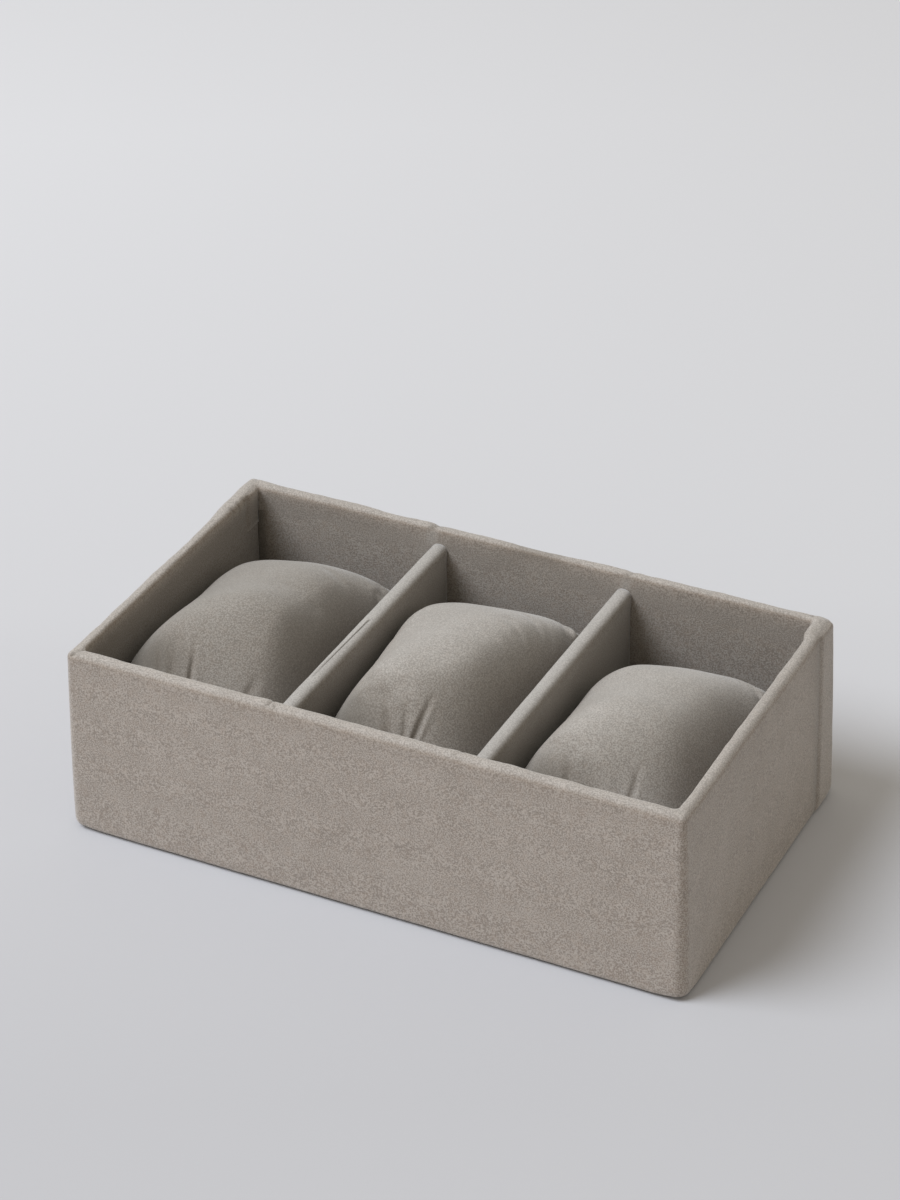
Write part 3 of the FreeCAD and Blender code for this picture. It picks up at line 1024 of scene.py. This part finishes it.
def mark_cushion(mesh, name, folded):
    """Mark the pile of a finished cover with painted highlights and shade, and bare backing in folds."""
    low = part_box(name + "_cushion_cover")[0]
    points, normals = read_points(mesh), read_points(mesh, "normal")
    to_right, up = normals[:, 0], normals[:, 2]
    reach = CORNER_REACH[name]
    corner = 1 - ramp(points[:, 0] - low.x, *CORNER_WIDTH)
    corner = corner * (1 - ramp(points[:, 1] - low.y, reach - CORNER_FADE, reach))
    # Painted highlight on top, left off the front left corner
    crush_and_highlight = TOP_HIGHLIGHT[name] * ramp(up, *TOP_HIGHLIGHT_LEAN) * (1 - corner)
    # Painted shade on the right side, in puckers and seams, on top and at the front left corner
    painted_shade = np.maximum(RIGHT_SHADE[name] * ramp(to_right, *RIGHT_LEAN), PUCKER_SHADE * folded)
    painted_shade = np.maximum(painted_shade, TOP_SHADE[name] * ramp(up, *TOP_SHADE_LEAN))
    painted_shade = np.maximum(painted_shade, CORNER_SHADE * corner)
    mark_pile(mesh, crush_and_highlight=crush_and_highlight, painted_shade=painted_shade, bare=FOLD_BARE * folded)


def wadding():
    """Loose white fibres."""
    material, fluff = start_material("fibre wadding")
    place = fluff.add("TexCoord", output="Object")
    strands = fluff.noise(place, STRAND_SIZE, detail=4.0)
    colour = fluff.mix(strands, *WADDING_TONES)
    finish = fluff.add("BsdfPrincipled", inputs={"Base Color": colour, "Roughness": 0.85 + strands * 0.15})
    fluff.add("OutputMaterial", inputs={"Surface": finish})
    return material


cushion_material = velvet("cushion velvet", CUSHION_ROOTS, CUSHION_TIPS)
wadding_material = wadding()
for name in CROWNS:
    pad = pad_mesh(name)
    let_swell(pad)
    inside = pad.copy()
    inside.name = name + "_filling"
    write_points(inside, read_points(pad) - read_points(pad, "normal") * FILLING_DEPTH)
    filling = new_piece(inside, wadding_material)
    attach(filling, name + "_cushion")
    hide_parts(name + "_cushion_filling")
    cover_mesh = subdivided(pad, levels=2)
    cover_mesh.name = name + "_cushion"
    mark_cushion(cover_mesh, name, pucker(cover_mesh, name))
    cushion = new_piece(cover_mesh, cushion_material)
    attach(cushion, name + "_cushion")
    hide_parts(name + "_cushion_cover")


# Studio: a pale seamless floor, one large soft lamp to the left and front, and even light around.
# The camera stands where the photo's camera was, found from the tray's corners.
# Painted light on the floor: its colours near the camera and in the middle, left and right, and far off
FLOOR_FRONT = ((0.500, 0.505, 0.540), (0.550, 0.557, 0.594))
FLOOR_MIDDLE = ((0.592, 0.599, 0.637), (0.648, 0.659, 0.702))
FLOOR_FAR = (0.694, 0.706, 0.752)
GRAIN_COLOUR = (0.5, 0.5, 0.5)
GRAIN_SHARE = 0.05
GRAIN_SIZE = 1.2 * MM
# Where the floor's painted light changes, away from the camera and across its view, in metres: start and
# length
TONE_NEAR = (-0.15, 0.28)
TONE_FAR = (0.10, 0.45)
TONE_ACROSS = (-0.20, 0.40)
VIEW_COSINE = 0.89
VIEW_SINE = 0.45


def pale_floor():
    """Paper with painted light: paler away from the camera and to the right."""
    material, paper = start_material("pale paper")
    place = paper.add("TexCoord", output="Object")
    grain = paper.noise(place, GRAIN_SIZE, detail=3.0)
    x = paper.add("SeparateXYZ", inputs={"Vector": place}, output="X")
    y = paper.add("SeparateXYZ", inputs={"Vector": place}, output="Y")
    away = y * VIEW_COSINE - x * VIEW_SINE
    across = (x * VIEW_COSINE + y * VIEW_SINE).rise(*TONE_ACROSS)
    front = paper.mix(across, *FLOOR_FRONT)
    middle = paper.mix(across, *FLOOR_MIDDLE)
    colour = paper.mix(away.rise(*TONE_NEAR), front, middle)
    colour = paper.mix(away.rise(*TONE_FAR), colour, FLOOR_FAR)
    colour = paper.mix(grain * GRAIN_SHARE, colour, GRAIN_COLOUR)
    finish = paper.add(
        "BsdfPrincipled",
        inputs={"Base Color": colour, "Roughness": 0.85 + grain * 0.1, "Specular IOR Level": 0.1},
    )
    paper.add("OutputMaterial", inputs={"Surface": finish})
    return material


FLOOR_HALF = 4.0
floor_corners = [(x * FLOOR_HALF, y * FLOOR_HALF, 0) for x, y in ((-1, -1), (1, -1), (1, 1), (-1, 1))]
floor_mesh = bpy.data.meshes.new("floor")
floor_mesh.from_pydata(floor_corners, [], [(0, 1, 2, 3)])
floor = new_piece(floor_mesh, pale_floor())


def direction(turn, height):
    """The way to a place round the tray: turned to the right from straight in front, and raised."""
    return Vector(
        (
            math.sin(turn) * math.cos(height),
            -math.cos(turn) * math.cos(height),
            math.sin(height),
        )
    )


LAMP_DISTANCE = 3.0
LAMP_SIZE = 1.8
LAMP_LEVEL = 0.86
LAMP_COLOUR = (0.94, 0.98, 1.03)
lamp_direction = direction(turn=math.radians(-49), height=math.radians(53))
lamp_data = bpy.data.lights.new("soft lamp", "AREA")
lamp_data.shape = "DISK"
lamp_data.size = LAMP_SIZE
lamp_data.energy = LAMP_LEVEL * math.pi**2 * LAMP_DISTANCE**2
lamp_data.color = LAMP_COLOUR
lamp = bpy.data.objects.new("soft lamp", lamp_data)
lamp.location = lamp_direction * LAMP_DISTANCE
lamp.rotation_euler = lamp_direction.to_track_quat("Z", "Y").to_euler()
bpy.context.scene.collection.objects.link(lamp)

ROOM_LIGHT = (0.498, 0.460, 0.393)
ROOM_SEEN = (0.68, 0.69, 0.715)
SEEING_RAYS = ("Is Camera Ray", "Is Glossy Ray", "Is Transmission Ray")
world = bpy.data.worlds.new("studio")
bpy.context.scene.world = world
world.use_nodes = True
world.node_tree.nodes.clear()
room = Shade(world.node_tree)
seen = sum(room.add("LightPath", output=ray) for ray in SEEING_RAYS).clamped()
sky = room.mix(seen, ROOM_LIGHT, ROOM_SEEN)
background = room.add("Background", inputs={"Color": sky, "Strength": 1.0})
room.add("OutputWorld", inputs={"Surface": background})

CAMERA_TURN = math.radians(26.846)
CAMERA_HEIGHT = math.radians(32.153)
CAMERA_ROLL = math.radians(-1.026)
CAMERA_DISTANCE = 1197.878 * MM
CAMERA_AIM = Vector((-30.994, 60.748, 40.0)) * MM
CAMERA_LENS = 102.891
CAMERA_SENSOR = 36
back = direction(CAMERA_TURN, CAMERA_HEIGHT)
level = Vector((math.cos(CAMERA_TURN), math.sin(CAMERA_TURN), 0))
sideways = level * math.cos(CAMERA_ROLL) + back.cross(level) * math.sin(CAMERA_ROLL)
camera_data = bpy.data.cameras.new("camera")
camera_data.lens = CAMERA_LENS
camera_data.sensor_width = CAMERA_SENSOR
camera = bpy.data.objects.new("camera", camera_data)
axes = Matrix((sideways, back.cross(sideways), back)).transposed()
camera.matrix_world = Matrix.Translation(CAMERA_AIM + back * CAMERA_DISTANCE) @ axes.to_4x4()
bpy.context.scene.collection.objects.link(camera)
bpy.context.scene.camera = camera
bpy.context.scene.view_settings.view_transform = "Standard"
